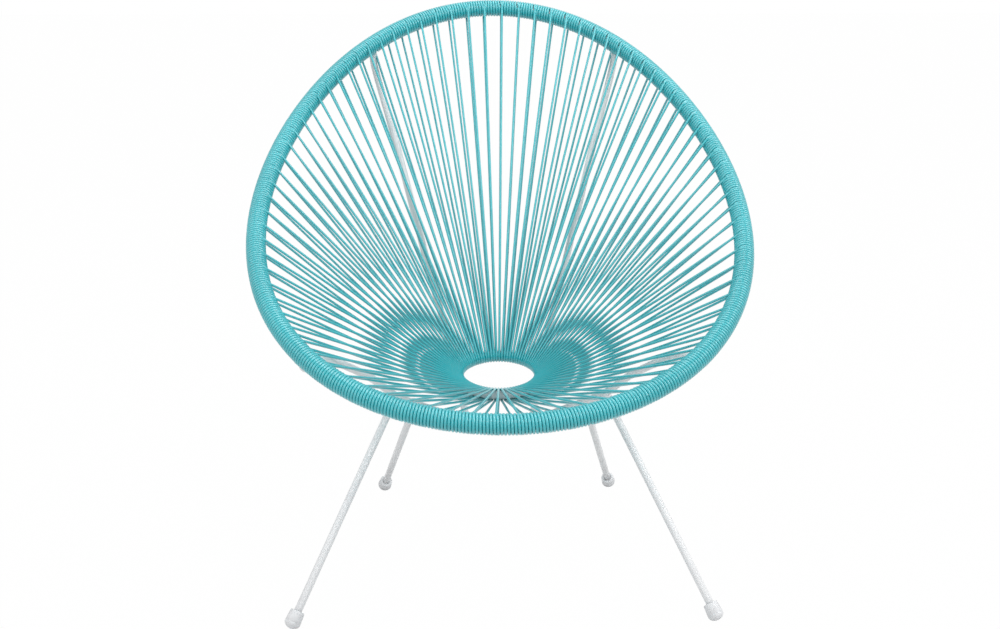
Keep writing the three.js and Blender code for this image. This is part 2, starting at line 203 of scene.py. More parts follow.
def object_noise(nodes, links, scale, detail=2.0):
    place = nodes.new("ShaderNodeTexCoord")
    noise = nodes.new("ShaderNodeTexNoise")
    noise.inputs["Scale"].default_value = scale
    noise.inputs["Detail"].default_value = detail
    links.new(place.outputs["Object"], noise.inputs["Vector"])
    return noise.outputs["Fac"]


def shades_from(nodes, links, source, shader, *stops):
    ramp = nodes.new("ShaderNodeValToRGB")
    for mark, (position, colour) in zip(ramp.color_ramp.elements, stops):
        mark.position, mark.color = position, colour
    links.new(source, ramp.inputs["Fac"])
    links.new(ramp.outputs["Color"], shader.inputs["Base Color"])


def gloss_from(nodes, links, source, shader, glossiest, dullest):
    gloss = nodes.new("ShaderNodeMapRange")
    gloss.inputs["To Min"].default_value = glossiest
    gloss.inputs["To Max"].default_value = dullest
    links.new(source, gloss.inputs["Value"])
    links.new(gloss.outputs["Result"], shader.inputs["Roughness"])


def bump_from(nodes, links, height, shader, distance, strength):
    bump = nodes.new("ShaderNodeBump")
    bump.inputs["Distance"].default_value = distance
    bump.inputs["Strength"].default_value = strength
    links.new(height, bump.inputs["Height"])
    links.new(bump.outputs["Normal"], shader.inputs["Normal"])


print("a screen's middle grey is", round(linear(128, 128, 128)[0], 3), "to a shader")

# %% [markdown]
# Vinyl cord is coloured through and through, so its colour hardly changes. A slow noise
# lets one stretch of cord be a touch lighter than the next, as daylight has bleached it.
# The outer skin is drawn through a die: it is glossy, with faint lengthwise lines. A clear
# coat over the base gives that skin. The lines follow the cord through the piece's own
# map, where U runs along a whole cord length and V once round it. A noise that is
# stretched along U turns into lines.

# %% Vinyl cord
def make_cord_vinyl():
    material, nodes, links, shader = new_material("cord_vinyl", linear(30, 170, 179), 0.3)
    shader.inputs["IOR"].default_value = 1.55
    shader.inputs["Coat Weight"].default_value = 0.9
    shader.inputs["Coat Roughness"].default_value = 0.26
    shader.inputs["Coat IOR"].default_value = 1.6
    bleach = object_noise(nodes, links, scale=14.0)
    shades_from(nodes, links, bleach, shader,
                (0.3, linear(26, 166, 175)), (0.7, linear(36, 175, 184)))
    skin = nodes.new("ShaderNodeTexCoord")
    stretch = nodes.new("ShaderNodeMapping")
    stretch.inputs["Scale"].default_value = (9.0, 0.6, 1.0)
    links.new(skin.outputs["UV"], stretch.inputs["Vector"])
    lines = nodes.new("ShaderNodeTexNoise")
    lines.inputs["Scale"].default_value = 3.0
    lines.inputs["Detail"].default_value = 3.0
    links.new(stretch.outputs["Vector"], lines.inputs["Vector"])
    bump_from(nodes, links, lines.outputs["Fac"], shader, distance=0.0001, strength=0.08)
    gloss_from(nodes, links, lines.outputs["Fac"], shader, glossiest=0.24, dullest=0.4)
    return material


cord_vinyl = make_cord_vinyl()
print("material:", cord_vinyl.name)

# %% [markdown]
# Powder coat is a plastic skin baked onto steel. It is white and even, with a faint
# orange-peel ripple of about two millimetres, and a little duller in some places than in
# others. The ripple could be modelled, but it is far thinner than paper, so a bump does.

# %% Powder coat
def make_powder_coat():
    material, nodes, links, shader = new_material("powder_coat", linear(226, 227, 229), 0.38)
    peel = object_noise(nodes, links, scale=420.0, detail=1.0)
    bump_from(nodes, links, peel, shader, distance=0.00012, strength=0.15)
    patch = object_noise(nodes, links, scale=22.0, detail=3.0)
    shades_from(nodes, links, patch, shader,
                (0.3, linear(222, 223, 225)), (0.7, linear(230, 231, 232)))
    gloss_from(nodes, links, patch, shader, glossiest=0.32, dullest=0.46)
    return material


powder_coat = make_powder_coat()
print("material:", powder_coat.name)

# %% [markdown]
# The foot caps are moulded plastic, a shade greyer than the coat, duller and finer in
# grain. They stand on the ground, so a quicker noise gives them scuffed places.

# %% Cap plastic
def make_cap_plastic():
    material, nodes, links, shader = new_material("cap_plastic", linear(216, 217, 219), 0.45)
    grain = object_noise(nodes, links, scale=900.0)
    bump_from(nodes, links, grain, shader, distance=0.00008, strength=0.15)
    scuff = object_noise(nodes, links, scale=60.0, detail=4.0)
    shades_from(nodes, links, scuff, shader,
                (0.35, linear(210, 211, 213)), (0.6, linear(219, 220, 222)))
    return material


cap_plastic = make_cap_plastic()
print("material:", cap_plastic.name)

# %% [markdown]
# Bolts, washers and nuts are zinc plated. Plating is a metal of one colour whose small
# crystals are glossier or duller, so the noise moves only the roughness.

# %% Zinc plating
def make_zinc():
    material, nodes, links, shader = new_material("zinc", linear(196, 199, 204), 0.35, 1.0)
    crystals = object_noise(nodes, links, scale=500.0)
    gloss_from(nodes, links, crystals, shader, glossiest=0.25, dullest=0.5)
    return material


zinc = make_zinc()
print("material:", zinc.name)

# %% [markdown]
# The cord's line round the hoop is a tight helix. The hoop is divided into stations, each
# with a few turns and one pair of strands. The turns lie beside each other, so the pitch
# is the hoop's length over the number of turns.

# %% The cord's sizes and stations
CORD_RADIUS = 0.00212
STRAND_RADIUS = 0.00185
CORD_CLEARANCE = 0.0003
STATIONS = 84
TURNS_PER_STATION = 7
PITCH = HOOP_LENGTH / (STATIONS * TURNS_PER_STATION)
print("turns:", STATIONS * TURNS_PER_STATION, "pitch:", round(PITCH * 1000, 2), "mm")

# %% [markdown]
# The small ring lies almost level in the middle of the seat. At each station the cord
# comes over its rod, turns down through the hole and leaves below. The bend is a plain
# half circle of a few points, turned so that its ends meet the two strands, and a seeded
# wobble slides these ends a little along the rod.

# %% The bend round the ring
RING_CENTRE = Vector((0.0, 0.040, 0.2705))
RING_RADIUS = 0.068
RING_ROD_RADIUS = 0.007
RING_TILT = math.radians(8)
RING_SIDE = Vector((1.0, 0.0, 0.0))
RING_BACK = Vector((0.0, math.cos(RING_TILT), math.sin(RING_TILT)))
RING_UP = Vector((0.0, -math.sin(RING_TILT), math.cos(RING_TILT)))
RING_REACH = RING_ROD_RADIUS + CORD_CLEARANCE + STRAND_RADIUS
RING_STEPS = 8
RING_WOBBLE = 0.00025


def ring_frame(share):
    """The point on the ring at a share of its way round, and the way along the ring."""
    angle = 2 * math.pi * share
    outward = RING_SIDE * math.sin(angle) + RING_BACK * math.cos(angle)
    tangent = RING_SIDE * math.cos(angle) - RING_BACK * math.sin(angle)
    return RING_CENTRE + outward * RING_RADIUS, tangent


def ring_bend(station, dice):
    """Points of the half turn round the ring's rod, from above through the hole to below."""
    share = (station + 0.5) / STATIONS
    centre, tangent = ring_frame(share)
    way = (hoop_frame(share)[0] - centre).normalized()
    above = tangent.cross(way).normalized()
    inward = tangent.cross(above).normalized()
    start, end = (dice.uniform(-1, 1) * RING_WOBBLE for side in ("above", "below"))
    points = []
    for i in range(RING_STEPS + 1):
        turn = math.pi * (0.5 - i / RING_STEPS)
        slide = start + (end - start) * i / RING_STEPS
        points.append(centre + tangent * slide
                      + RING_REACH * (above * math.sin(turn) + inward * math.cos(turn)))
    return points


print("room for a strand at the ring:", round(2000 * math.pi * RING_RADIUS / STATIONS, 2), "mm")

# %% [markdown]
# The turning angle of the helix is counted from the outer side of the tube over the top
# to the inner side. Halfway through every station the cord leaves the tube where its own
# line touches it, and comes back from the ring to the underside. So half a turn is
# missing there, and the angle is set so that this half faces the ring.

# %% Which way the strands run
HALF_GAP = 0.25 / TURNS_PER_STATION


def strand_way(station):
    """The way of a station's strands from the hoop to the ring: outward, up and along."""
    share = (station + 0.5) / STATIONS
    point, tangent, outward = hoop_frame(share)
    way = (ring_frame(share)[0] - point).normalized()
    return way.dot(outward), way.dot(HOOP_UP), way.dot(tangent)


def strand_dip(station):
    """How far below the hoop's plane the strands of a station run, as an angle."""
    outward, up, along = strand_way(station)
    return math.atan2(-up, -outward)


def turning(station):
    """The angle that the cord has turned round the tube at a station or between two."""
    whole = 2 * math.pi * TURNS_PER_STATION * (station - 0.5)
    return whole + math.pi + strand_dip(station - 0.5)


for name, station in (("back", 0), ("side", STATIONS // 4), ("front", STATIONS // 2)):
    print("strands at the", name, "dip by", round(math.degrees(strand_dip(station))), "degrees")

# %% [markdown]
# Between the two strands of a station the missing half turn would leave a slit. On the
# real hoop the turns beside it spread into it, so that none of the tube shows. They could
# be drawn thicker, but a cord doesn't swell that much, so here they mostly move along the
# tube. A weight says how much: 1 where the half turn is missing, fading out past it.

# %% Close the gap of the missing half turn
EARLY = 0.35
FADE = 0.7


def ease(value):
    value = min(max(value, 0.0), 1.0)
    return value * value * (3 - 2 * value)


def gap_weight(station):
    """1 on the side of the hoop where half a turn is missing, fading to 0 past its ends."""
    gap_start = math.pi / 2 + strand_dip(station - 0.5) - EARLY
    into_gap = (turning(station) - gap_start) % (2 * math.pi)
    return ease(into_gap / FADE) * ease((math.pi + 2 * EARLY - into_gap) / FADE)


def gap_shift(station):
    """How far a turn moves along the hoop to close the gap of the missing half turn."""
    turns_away = (station - math.floor(station) - 0.5) * TURNS_PER_STATION
    share = 0.5 * TURNS_PER_STATION / (TURNS_PER_STATION - 1)
    share -= abs(turns_away) / (TURNS_PER_STATION - 1)
    return -math.copysign(share, turns_away) * gap_weight(station) * PITCH


print("the first turn moves by", round(1000 * gap_shift(HALF_GAP + 0.5), 2), "mm")

# %% [markdown]
# Where a bar or the cradle is welded under the hoop the turns have no room. They are
# pushed to both sides of it, the more the nearer they are, and pile up there a little,
# which shows as a small bump on the wound rim. A simulation could find how real turns
# lie, but two bell curves, one along the hoop and one round it, look much the same.

# %% A point of the winding
HOOP_TUBE_RADIUS = 0.0095
WINDING_RADIUS = HOOP_TUBE_RADIUS + CORD_CLEARANCE + CORD_RADIUS
ROD_RADIUS = 0.006
BACK_JOINT_STATION = 0.0944 * STATIONS
CRADLE_JOINT_STATION = 0.381 * STATIONS
JOINT_STATIONS = [BACK_JOINT_STATION, STATIONS - BACK_JOINT_STATION,
                  CRADLE_JOINT_STATION, STATIONS - CRADLE_JOINT_STATION]
BAR_SIDE = 1.5 * math.pi
SPREAD_TURN = 0.75
SPREAD_LENGTH = 0.014
SPREAD_END = 4 * SPREAD_LENGTH
PILE = 0.0028


def winding_point(station, wobble, slide=0.0, lift=0.0):
    """A point of the cord's middle line on the hoop, moved along by slide, out by lift."""
    turn = turning(station)
    along = slide + gap_shift(station)
    radius = WINDING_RADIUS + wobble + lift
    for joint in JOINT_STATIONS:
        offset = (station - joint + STATIONS / 2) % STATIONS - STATIONS / 2
        offset *= HOOP_LENGTH / STATIONS
        if abs(offset) > SPREAD_END:
            continue
        away = (turn - BAR_SIDE + math.pi) % (2 * math.pi) - math.pi
        near = math.exp(-(away / SPREAD_TURN) ** 2)
        side = 1 if offset >= 0 else -1
        fade = math.exp(-(offset / SPREAD_LENGTH) ** 2)
        beside = side * math.hypot(offset, ROD_RADIUS + CORD_RADIUS)
        along += near * fade * (beside - offset)
        radius += PILE * fade * near
    share = station / STATIONS + along / HOOP_LENGTH
    point, tangent, outward = hoop_frame(share)
    return point + radius * (outward * math.cos(turn) + HOOP_UP * math.sin(turn))


print("wound rim:", round(2000 * (WINDING_RADIUS + CORD_RADIUS), 1), "mm thick")

# %% [markdown]
# On the sides of the chair a strand leaves the hoop at a slant. The cord bends over to
# that slant in its last quarter of a turn, and so it climbs over its neighbours. Without
# the climb it would cut through them.

# %% Bend towards a strand
BEND_TURN = math.radians(80)
CLIMB = 0.8
FREE_SLIDE = 0.4


def bend_over(place, end, slide):
    """Slide and lift of the cord near the place where it leaves or meets the hoop."""
    turn_away = abs(end - place) * TURNS_PER_STATION * 2 * math.pi
    part = max(1 - turn_away / BEND_TURN, 0.0) ** 2
    over = min(max(abs(slide) / PITCH - FREE_SLIDE, 0.0) / (1 - FREE_SLIDE), 1.0)
    return slide * part, 2 * CORD_RADIUS * CLIMB * over * part


def strand_slant(station):
    """How far the cord slides along the hoop while it bends over to its strand."""
    along = strand_way(station)[2]
    return along / math.sqrt(1 - along * along) * WINDING_RADIUS * BEND_TURN / 2


print("slant at the side:", round(1000 * strand_slant(STATIONS // 4), 2), "mm")

# %% [markdown]
# One cord length is walked from end to end: turns, then a trip to the ring, then turns
# again. So one open path holds all of it, as on the real chair, and no strand starts from
# nothing. A taut strand is thinner than the cord on the hoop. A turn is pressed a little
# wider where its neighbours have spread, and at the ring the cords are pressed against
# each other. Small wobbles keep the turns and the strands from looking machined. They are
# seeded, so each run draws the same chair.

# %% Walk one cord length
STEPS_PER_TURN = 20
STEP = 1 / (TURNS_PER_STATION * STEPS_PER_TURN)
END_GAP = 0.01 * STEP
HOOP_WOBBLE = 0.00001
WOBBLE_KEPT = 0.95
STRAND_WOBBLE = 0.0007
TUCK = 0.12
THINNED = STRAND_RADIUS / CORD_RADIUS
WIDENED = 0.14
PRESSED = 1.12
TAUT = 0.93
PACKED_LENGTH = 0.012


def beside_ring(bend_end, hoop_end):
    """The point of a strand where it comes free of its neighbours at the ring."""
    return bend_end + (hoop_end - bend_end).normalized() * PACKED_LENGTH


def thickness(place):
    """The cord's thickness on the hoop, where 1 is a cord that isn't pressed."""
    return 1 + WIDENED * gap_weight(place)


def cord_path(first, last, dice):
    """Points of one cord length, each with the cord's thickness there."""
    points = []
    place = first + END_GAP
    wobble = 0.0
    back_slide = 0.0
    back_place = first - 1.0
    for station in range(first, last):
        leave = station + 0.5 - HALF_GAP
        meet = station + 0.5 + HALF_GAP
        slant = strand_slant(station)
        out_slide = slant + TUCK * PITCH + dice.uniform(-1, 1) * STRAND_WOBBLE
        next_slide = slant - TUCK * PITCH + dice.uniform(-1, 1) * STRAND_WOBBLE
        while place < leave - STEP / 3:
            wobble = WOBBLE_KEPT * wobble + dice.uniform(-1, 1) * HOOP_WOBBLE
            before = bend_over(place, back_place, back_slide)
            after = bend_over(place, leave, out_slide)
            point = winding_point(place, wobble, before[0] + after[0], before[1] + after[1])
            points.append((point, thickness(place)))
            place += STEP
        off = winding_point(leave, wobble, *bend_over(leave, leave, out_slide))
        on = winding_point(meet, wobble, *bend_over(meet, meet, next_slide))
        bend = ring_bend(station, dice)
        points += [(off, THINNED), (beside_ring(bend[0], off), TAUT)]
        points += [(point, PRESSED) for point in bend]
        points += [(beside_ring(bend[-1], on), TAUT), (on, THINNED)]
        back_place, back_slide = meet, next_slide
        place = meet + STEP
    while place < last - STEP / 2:
        before = bend_over(place, back_place, back_slide)
        points.append((winding_point(place, wobble, *before), thickness(place)))
        place += STEP
    points.append((winding_point(last - END_GAP, wobble), 1.0))
    return points


print("points in one station:", len(cord_path(0, 1, random.Random(0))))

# %% [markdown]
# A tube could be extruded along this path ring by ring. But the path has more than a
# thousand points and its thickness changes, and that is what a curve with a round bevel
# is made for: each point has its own radius, and the map follows the cord by itself. The
# curve is turned into a mesh at once, so that the finished piece is a plain mesh.

# %% From path to cord
CORD_SIDES = 8


def cord_mesh(name, points, radius):
    """A closed round tube along the points, with U along it and V round it."""
    curve = bpy.data.curves.new(name, "CURVE")
    curve.dimensions = "3D"
    curve.bevel_depth = radius
    curve.bevel_resolution = (CORD_SIDES - 4) // 2
    curve.use_fill_caps = True
    curve.twist_mode = "MINIMUM"
    spline = curve.splines.new("POLY")
    spline.points.add(len(points) - 1)
    for knot, (point, thick) in zip(spline.points, points):
        knot.co = (*point, 1.0)
        knot.radius = thick
    holder = bpy.data.objects.new(name, curve)
    bpy.context.collection.objects.link(holder)
    bpy.context.view_layer.update()
    shaped = holder.evaluated_get(bpy.context.evaluated_depsgraph_get())
    mesh = bpy.data.meshes.new_from_object(shaped)
    bpy.data.objects.remove(holder)
    bpy.data.curves.remove(curve)
    return mesh


print("a cord has", CORD_SIDES, "sides")

# %% [markdown]
# The seat is wound from eight lengths of cord, each from one station to another. The
# first starts left of the middle of the back, where the numbers begin, so its first
# station is negative. One long cord would do for the eye, but the solids have eight too,
# and each piece here stands for one of them.

# %% Wind the eight lengths
CORD_LENGTHS = {
    "back": (-6, 6), "back_right": (6, 16), "side_right": (16, 26), "front_right": (26, 36),
    "front": (36, 48), "front_left": (48, 58), "side_left": (58, 68), "back_left": (68, 78),
}
FIRST_SEED = 100

total = 0
for name, (first, last) in CORD_LENGTHS.items():
    points = cord_path(first, last, random.Random(first + FIRST_SEED))
    mesh = cord_mesh("cord_" + name, points, CORD_RADIUS)
    place_mesh("cord_" + name, mesh, cord_vinyl, "seat_cord_" + name)
    length = sum((b[0] - a[0]).length for a, b in zip(points, points[1:]))
    total += length
    print("cord", name, len(points), "points", round(length, 2), "m")
print("cord in all:", round(total, 1), "m")

# %% [markdown]
# The rods under the seat are bent cold, so they have no corners. Their path is the same
# as the solid's, a smooth curve through a few points. A curve object has handles at its
# points, and here the path has to run exactly as in the solids, so it is worked out: the
# place between two points follows from these two and one more on either side, and the
# whole is then read back in even steps.

# %% A smooth path through points
FINE_STEPS = 40


def smooth_between(ends, part):
    """The place at a part of the way between the middle two of four points."""
    knots = [0.0]
    for one, two in zip(ends, ends[1:]):
        knots.append(knots[-1] + (two - one).length ** 0.5)
    here = knots[1] + (knots[2] - knots[1]) * part
    a, b, c, d = ends

    def blend(one, two, low, high):
        return one.lerp(two, (here - low) / (high - low))

    ab = blend(a, b, knots[0], knots[1])
    bc = blend(b, c, knots[1], knots[2])
    cd = blend(c, d, knots[2], knots[3])
    return blend(blend(ab, bc, knots[0], knots[2]), blend(bc, cd, knots[1], knots[3]),
                 knots[1], knots[2])


def smooth_path(points, steps):
    """Even steps on the smooth curve through the points."""
    ends = [points[0] * 2 - points[1], *points, points[-1] * 2 - points[-2]]
    fine = [smooth_between(four, i / FINE_STEPS)
            for four in zip(ends, ends[1:], ends[2:], ends[3:]) for i in range(FINE_STEPS)]
    fine.append(points[-1])
    lengths = [0.0]
    for one, two in zip(fine, fine[1:]):
        lengths.append(lengths[-1] + (two - one).length)
    even = []
    j = 0
    for i in range(steps + 1):
        wanted = lengths[-1] * i / steps
        while j < len(fine) - 2 and lengths[j + 1] < wanted:
            j += 1
        part = (wanted - lengths[j]) / (lengths[j + 1] - lengths[j])
        even.append(fine[j].lerp(fine[j + 1], min(part, 1.0)))
    return even


corner = [Vector((0.0, 0.0, 0.0)), Vector((1.0, 0.0, 0.0)), Vector((1.0, 1.0, 0.0))]
print("halfway along a test corner:", smooth_path(corner, 2)[1])

# %% [markdown]
# The cradle is one long rod: it hangs from the hoop at both sides of the front, dips under
# the seat and carries the leg sockets. Two bars come down the back of the seat and end
# on it. Their points, from the hoop inward, are those of the solids. Only the right half
# is written down, and the left is its mirror image.

# %% Where the rods run
STAND_OFF = 0.028
CRADLE_STEPS = 160
BAR_STEPS = 110
CRADLE_POINTS = [
    (0.24992, -0.18991, 0.37993),
    (0.19594, -0.10004, 0.31990),
    (0.16003, -0.04998, 0.26990),
    (0.11508, -0.02006, 0.23797),
    (0.05501, -0.00597, 0.21101),
    (0.00000, -0.00502, 0.20498),
]
BACK_BAR_POINTS = [
    (0.20616, 0.30093, 0.74819),
    (0.17198, 0.24799, 0.62991),
    (0.10405, 0.15309, 0.37802),
    (0.07807, 0.11805, 0.28796),
    (0.06399, 0.07801, 0.23599),
    (0.05698, 0.03000, 0.21902),
    (0.05501, -0.00597, 0.21101),
]


def mirrored(point):
    return Vector((-point.x, point.y, point.z))


def joint_points(station, offsets):
    point = hoop_frame(station / STATIONS)[0]
    return [point - HOOP_UP * offset for offset in offsets]


cradle_arm = joint_points(CRADLE_JOINT_STATION, [0.0, STAND_OFF / 2, STAND_OFF])
cradle_arm += [Vector(point) for point in CRADLE_POINTS]
cradle_points = cradle_arm + [mirrored(point) for point in reversed(cradle_arm[:-1])]
bar_points = joint_points(BACK_JOINT_STATION, [0.0, STAND_OFF / 2])
bar_points += [Vector(point) for point in BACK_BAR_POINTS]
cradle_path = smooth_path(cradle_points, CRADLE_STEPS)
print("cradle:", len(cradle_path), "places, lowest", round(min(p.z for p in cradle_path), 3), "m")

# %% [markdown]
# A bent rod is a circle carried along its path. The curve's bevel that made the cord would
# do here too. A rod has fewer places and one thickness, so this is done in bmesh: the
# circle is extruded from place to place, and each new one is turned to face the way the
# rod goes.

# %% Cradle and back bars
ROD_SIDES = 20


def edges_at(verts):
    """The edges at some vertices, each once and always in the same order."""
    return list(dict.fromkeys(edge for vert in verts for edge in vert.link_edges))


def draw_rod(bm, places, radius):
    ways = []
    for i in range(len(places)):
        before = places[max(i - 1, 0)]
        after = places[min(i + 1, len(places) - 1)]
        ways.append((after - before).normalized())
    turn = ways[0].to_track_quat("Z", "Y")
    frame_here = Matrix.Translation(places[0]) @ turn.to_matrix().to_4x4()
    made = bmesh.ops.create_circle(bm, cap_ends=True, segments=ROD_SIDES, radius=radius,
                                   matrix=frame_here)
    edges = edges_at(made["verts"])
    for i in range(1, len(places)):
        turn = ways[i - 1].rotation_difference(ways[i]) @ turn
        frame_next = Matrix.Translation(places[i]) @ turn.to_matrix().to_4x4()
        made = bmesh.ops.extrude_edge_only(bm, edges=edges)
        verts = [item for item in made["geom"] if isinstance(item, bmesh.types.BMVert)]
        edges = [item for item in made["geom"] if isinstance(item, bmesh.types.BMEdge)]
        bmesh.ops.transform(bm, matrix=frame_next @ frame_here.inverted(), verts=verts)
        frame_here = frame_next
    bmesh.ops.holes_fill(bm, edges=edges, sides=ROD_SIDES)
    bmesh.ops.recalc_face_normals(bm, faces=bm.faces)


bm = bmesh.new()
draw_rod(bm, cradle_path, ROD_RADIUS)
add_piece("cradle", bm, powder_coat, "seat_cradle")
for side in ("right", "left"):
    points = bar_points if side == "right" else [mirrored(point) for point in bar_points]
    bm = bmesh.new()
    draw_rod(bm, smooth_path(points, BAR_STEPS), ROD_RADIUS)
    add_piece("bar_" + side, bm, powder_coat, "back_bar_" + side)

# %% [markdown]
# The ring that all strands turn round is a closed ring of steel rod. Blender's editor has
# a ready torus for that, but a small circle that is spun about the ring's own axis gives
# it in its tilted place at once.

# %% Seat ring
RING_AROUND = 96

bm = bmesh.new()
start = Matrix.Translation(RING_CENTRE + RING_SIDE * RING_RADIUS) @ Matrix.Rotation(
    RING_TILT, 4, "X") @ Matrix.Rotation(math.pi / 2, 4, "X")
made = bmesh.ops.create_circle(bm, segments=ROD_SIDES, radius=RING_ROD_RADIUS, matrix=start)
bmesh.ops.spin(bm, geom=made["verts"] + edges_at(made["verts"]), cent=RING_CENTRE,
               axis=RING_UP, angle=2 * math.pi, steps=RING_AROUND, use_merge=True)
bmesh.ops.recalc_face_normals(bm, faces=bm.faces)
add_piece("ring", bm, powder_coat, "seat_ring")

# %% [markdown]
# A leg is a straight rod with a plastic cap below and a welded socket above. They share
# one frame, the solid's: its z axis runs up the leg and its x axis is level. The leg
# leans, so the frame is lifted until the small flat under the cap's dome lies on the
# floor. The leg's top is a place on the cradle, and the rod ends just under the cradle.

# %% Where the legs stand
LEG_RADIUS = 0.0057
FIT = 0.0003
FEET = {"front": Vector((0.307, -0.267, 0.0)), "rear": Vector((0.204, 0.192, 0.0))}
LEG_SHARES = {"front": 0.3125, "rear": 0.353}
SHARE_AHEAD = 0.001
FOOT_RADIUS = 0.01175
FOOT_DOME = 0.009
FOOT_FLAT_DEPTH = 0.0015
SOCKET_LENGTH = 0.030

Leg = namedtuple("Leg", "matrix top way_along_cradle way_up bar_at end socket_start hand")


def curve_place(points, share):
    """The point that a share of the knots, not of the length, gives on the cradle."""
    knot = share * (len(points) - 1)
    i = int(knot)
    return smooth_between(points[i - 1:i + 3], knot - i)


def leg_matrix(foot, top):
    axis = (top - foot).normalized()
    level = Vector((0.0, 0.0, 1.0)).cross(axis).normalized()
    rise = axis.cross(level)
    lean = math.sqrt(1 - axis.z ** 2)
    turn = Matrix((level, rise, axis)).transposed().to_4x4()
    reach = math.hypot(FOOT_RADIUS * lean, FOOT_DOME * axis.z)
    lift = reach - FOOT_DOME * axis.z - FOOT_FLAT_DEPTH
    return Matrix.Translation(foot + Vector((0.0, 0.0, lift))) @ turn


def stand_leg(foot, top, way):
    matrix = leg_matrix(foot, top)
    bar_at = (matrix.inverted() @ top).z
    hand = 1 if foot.x > 0 else -1
    return Leg(matrix, top, way, top - foot, bar_at, bar_at - ROD_RADIUS - FIT,
               bar_at - SOCKET_LENGTH, hand)


legs = {}
for end, foot in FEET.items():
    top = curve_place(cradle_points, LEG_SHARES[end])
    way = (curve_place(cradle_points, LEG_SHARES[end] + SHARE_AHEAD) - top).normalized()
    legs[end + "_right"] = stand_leg(foot, top, way)
    legs[end + "_left"] = stand_leg(mirrored(foot), mirrored(top), mirrored(way))
for name, leg in legs.items():
    print("leg", name, "ends", round(leg.end, 3), "m up its own line")

# %% [markdown]
# Caps, leg rods, sockets and bolts are all turned shapes, so each is a short outline that
# is spun once about its own line. The Screw modifier could do it too, but the operator
# leaves a plain mesh at once. A second helper saws such a shape off along a plane and
# closes the cut.

# %% Spin and saw
def spun(bm, outline, steps, matrix, axis_x=False):
    """Spins an outline of (distance out, place along) about z, or about x, in a frame."""
    verts = []
    for out, along in outline:
        spot = Vector((along, 0.0, out)) if axis_x else Vector((out, 0.0, along))
        verts.append(bm.verts.new(spot))
    edges = [bm.edges.new(pair) for pair in zip(verts, verts[1:])]
    axis = Vector((1.0, 0.0, 0.0)) if axis_x else Vector((0.0, 0.0, 1.0))
    bmesh.ops.spin(bm, geom=verts + edges, cent=(0, 0, 0), axis=axis,
                   angle=2 * math.pi, steps=steps, use_merge=True)
    bmesh.ops.remove_doubles(bm, verts=bm.verts, dist=1e-6)
    bmesh.ops.recalc_face_normals(bm, faces=bm.faces)
    bmesh.ops.transform(bm, matrix=matrix, verts=bm.verts)


def sawn(bm, place, beyond):
    """Cuts away what lies beyond a plane, closes the cut and gives back its rim."""
    cut = bmesh.ops.bisect_plane(bm, geom=[*bm.verts, *bm.edges, *bm.faces],
                                 plane_co=place, plane_no=beyond, clear_outer=True)
    rim = [item for item in cut["geom_cut"] if isinstance(item, bmesh.types.BMEdge)]
    bmesh.ops.contextual_create(bm, geom=rim)
    return rim


bm = bmesh.new()
spun(bm, [(0.0, 0.0), (1.0, 0.0), (1.0, 1.0), (0.0, 1.0)], 12, Matrix.Identity(4))
print("a test drum has", len(bm.faces), "faces")
bm.free()

# %% [markdown]
# A foot cap is a thick plastic cup with a domed foot, a moulded seam above the dome, and
# a rounded lip where the leg goes in. The seam and the lip are narrow, so they are given
# as small steps: how far each point lies inside the wall, and how far along. The leaning
# dome dips a little into the floor. What is below the floor is sawn off, and the cap
# stands on that flat.

# %% Foot caps
CAP_SIDES = 48
FOOT_TOP_RADIUS = 0.0107
FOOT_LENGTH = 0.026
FOOT_BOTTOM = 0.008
FOOT_SEAM = 0.0092
MOUTH_BEVEL = 0.0006
DOME_DEGREES = range(0, 90, 10)
SEAM_STEPS = [(0.0, -0.0006), (0.0002, -0.0003), (0.0007, 0.0), (0.0004, 0.0004),
              (0.0001, 0.0008)]
LIP_STEPS = [(0.0, 0.0018), (0.0003, 0.0008), (0.0009, 0.0002), (0.0018, 0.0)]

bore = LEG_RADIUS + FIT
turns = [math.radians(degrees) for degrees in DOME_DEGREES]
cap_outline = [(FOOT_RADIUS * math.sin(turn), FOOT_DOME * (1 - math.cos(turn))) for turn in turns]
cap_outline += [(FOOT_RADIUS - inside, FOOT_SEAM + along) for inside, along in SEAM_STEPS]
cap_outline += [(FOOT_TOP_RADIUS - inside, FOOT_LENGTH - down) for inside, down in LIP_STEPS]
cap_outline += [(bore + MOUTH_BEVEL, FOOT_LENGTH), (bore, FOOT_LENGTH - MOUTH_BEVEL),
                (bore, FOOT_BOTTOM), (0.0, FOOT_BOTTOM)]

for name, leg in legs.items():
    bm = bmesh.new()
    spun(bm, cap_outline, CAP_SIDES, leg.matrix)
    sawn(bm, (0, 0, 0), (0, 0, -1))
    bmesh.ops.recalc_face_normals(bm, faces=bm.faces)
    add_piece("cap_" + name, bm, cap_plastic, "foot_cap_" + name)

# %% [markdown]
# The leg's rod is cut to length, and the edges of its two ends are taken off, so that it
# slides into the cap and the socket. Both ends are hidden there, so a small flat edge
# does as well as a round one.

# %% Leg rods
LEG_SIDES = 24
LEG_BEVEL = 0.0004
LEG_START = FOOT_BOTTOM + FIT

for name, leg in legs.items():
    bm = bmesh.new()
    spun(bm, [(0.0, LEG_START), (LEG_RADIUS - LEG_BEVEL, LEG_START),
              (LEG_RADIUS, LEG_START + LEG_BEVEL), (LEG_RADIUS, leg.end - LEG_BEVEL),
              (LEG_RADIUS - LEG_BEVEL, leg.end), (0.0, leg.end)], LEG_SIDES, leg.matrix)
    add_piece("rod_" + name, bm, powder_coat, "leg_" + name)

# %% [markdown]
# A socket is a short tube that is welded to the cradle's underside, and the leg plugs into
# its mouth. Its top runs along the cradle: it is sawn off in the plane through the
# cradle's middle, and the new rim is rounded by a bevel, which stands for the weld.

